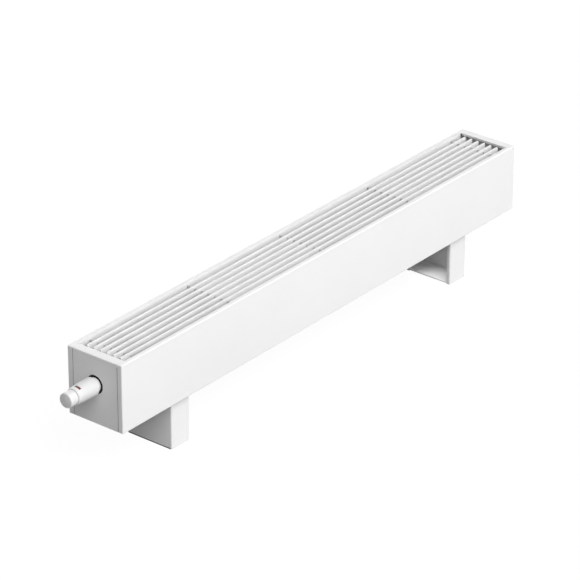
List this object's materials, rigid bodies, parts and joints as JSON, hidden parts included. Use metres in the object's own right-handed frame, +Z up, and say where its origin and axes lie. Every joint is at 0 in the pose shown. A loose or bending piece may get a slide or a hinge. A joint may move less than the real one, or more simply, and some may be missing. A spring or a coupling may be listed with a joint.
{
  "type": "floor-standing convector",
  "caption": "Low floor-standing convector: long white box casing with a slotted lift-out top grille, box feet, a finned heat exchanger inside and a thermostatic valve head at an end.",
  "frame": {"origin": "middle of the whole object's box, valve head included, at floor level", "axes": "+X along the casing away from the valve head, -Y out of the front, +Z up"},
  "size_m": [1.2806, 0.13, 0.24],
  "materials": {
    "casing_paint": "white powder coat, fine texture, satin",
    "grille_paint": "white powder coat on aluminium bars, satin",
    "rod_steel": "drawn steel rod, dull",
    "spacer_plastic": "moulded, light grey",
    "galvanised_steel": "galvanised sheet, faint spangle",
    "fin_aluminium": "pressed foil, mill finish",
    "copper": "copper tube, slightly dulled",
    "header_brass": "brazed brass pipe, slightly dulled",
    "turned_brass": "turned brass",
    "nickel": "nickel plated brass, satin",
    "pin_steel": "stainless steel, bright",
    "seal_rubber": "black sealing rubber",
    "head_plastic": "white moulded plastic, satin",
    "nut_plastic": "dark moulded plastic",
    "index_red": "dull red moulded plastic",
    "limit_grey": "dark grey moulded plastic",
    "foot_paint": "white powder coat, satin",
    "pad_rubber": "black rubber",
    "zinc": "zinc plated steel"
  },
  "bodies": {
    "root": {"front_panel": "casing_paint", "back_panel": "casing_paint", "valve_end_plate": "casing_paint", "far_end_plate": "casing_paint", "near_bracket": "galvanised_steel", "far_bracket": "galvanised_steel", "grille_bridge": "galvanised_steel", "fin_block": "fin_aluminium", "upper_front_tube": "copper", "upper_back_tube": "copper", "lower_front_tube": "copper", "lower_back_tube": "copper", "front_return_bend": "copper", "back_return_bend": "copper", "supply_header": "header_brass", "return_header": "header_brass", "vent_body": "turned_brass", "valve_insert": "turned_brass", "lockshield_bonnet": "turned_brass", "union_tails": "turned_brass", "valve_body": "nickel", "lockshield_body": "nickel", "union_nuts": "nickel", "return_spring": "pin_steel", "joint_seals": "seal_rubber", "hole_grommet": "seal_rubber", "head_collar": "head_plastic", "head_sleeve": "head_plastic", "head_nut": "nut_plastic", "index_mark": "index_red", "limit_mark": "limit_grey", "near_foot_shell": "foot_paint", "far_foot_shell": "foot_paint", "near_foot_base": "foot_paint", "far_foot_base": "foot_paint", "near_foot_pad": "pad_rubber", "far_foot_pad": "pad_rubber", "foot_screws": "zinc", "foot_nuts": "zinc", "bracket_screws": "zinc", "joint_screws": "zinc"},
    "knob": {"setting_cap": "head_plastic"},
    "spindle": {"sensor_capsule": "pin_steel", "push_pin": "pin_steel", "valve_pin": "pin_steel", "valve_disc": "seal_rubber"},
    "grille": {"grille_bar_1": "grille_paint", "grille_bar_2": "grille_paint", "grille_bar_3": "grille_paint", "grille_bar_4": "grille_paint", "grille_bar_5": "grille_paint", "grille_bar_6": "grille_paint", "grille_rods": "rod_steel", "grille_spacers": "spacer_plastic"},
    "lockshield_slider": {"lockshield_plug": "seal_rubber"},
    "lockshield_turner": {"lockshield_spindle": "turned_brass"},
    "lockshield_cover": {"lockshield_cap": "head_plastic"},
    "vent_key": {"vent_screw": "nickel"}
  },
  "joints": [
    {"name": "knob_turn", "type": "hinge", "parent": "root", "child": "knob", "pos_m": [-0.62975, 0, 0.181], "axis": [-1, 0, 0], "range_deg": [0, 300]},
    {"name": "spindle_slide", "type": "slide", "parent": "root", "child": "spindle", "axis": [-1, 0, 0], "range_m": [0, 0.0018]},
    {"name": "grille_lift", "type": "slide", "parent": "root", "child": "grille", "axis": [0, 0, 1], "range_m": [0, 0.15]},
    {"name": "lockshield_slide", "type": "slide", "parent": "root", "child": "lockshield_slider", "axis": [0, 0, 1], "range_m": [-0.003, 0]},
    {"name": "lockshield_turn", "type": "hinge", "parent": "lockshield_slider", "child": "lockshield_turner", "pos_m": [-0.51775, 0.028, 0.152], "axis": [0, 0, 1], "range_deg": [-1080, 0]},
    {"name": "lockshield_cap_lift", "type": "slide", "parent": "root", "child": "lockshield_cover", "axis": [0, 0, 1], "range_m": [0, 0.02]},
    {"name": "vent_turn", "type": "hinge", "parent": "root", "child": "vent_key", "pos_m": [-0.45275, 0.026, 0.205], "axis": [0, 0, 1], "range_deg": [0, 540]}
  ],
  "couplings": [
    {"joint": "knob_turn", "follows": "spindle_slide", "rad_per_m": 2908.9},
    {"joint": "lockshield_turn", "follows": "lockshield_slide", "rad_per_m": 6283.2}
  ]
}
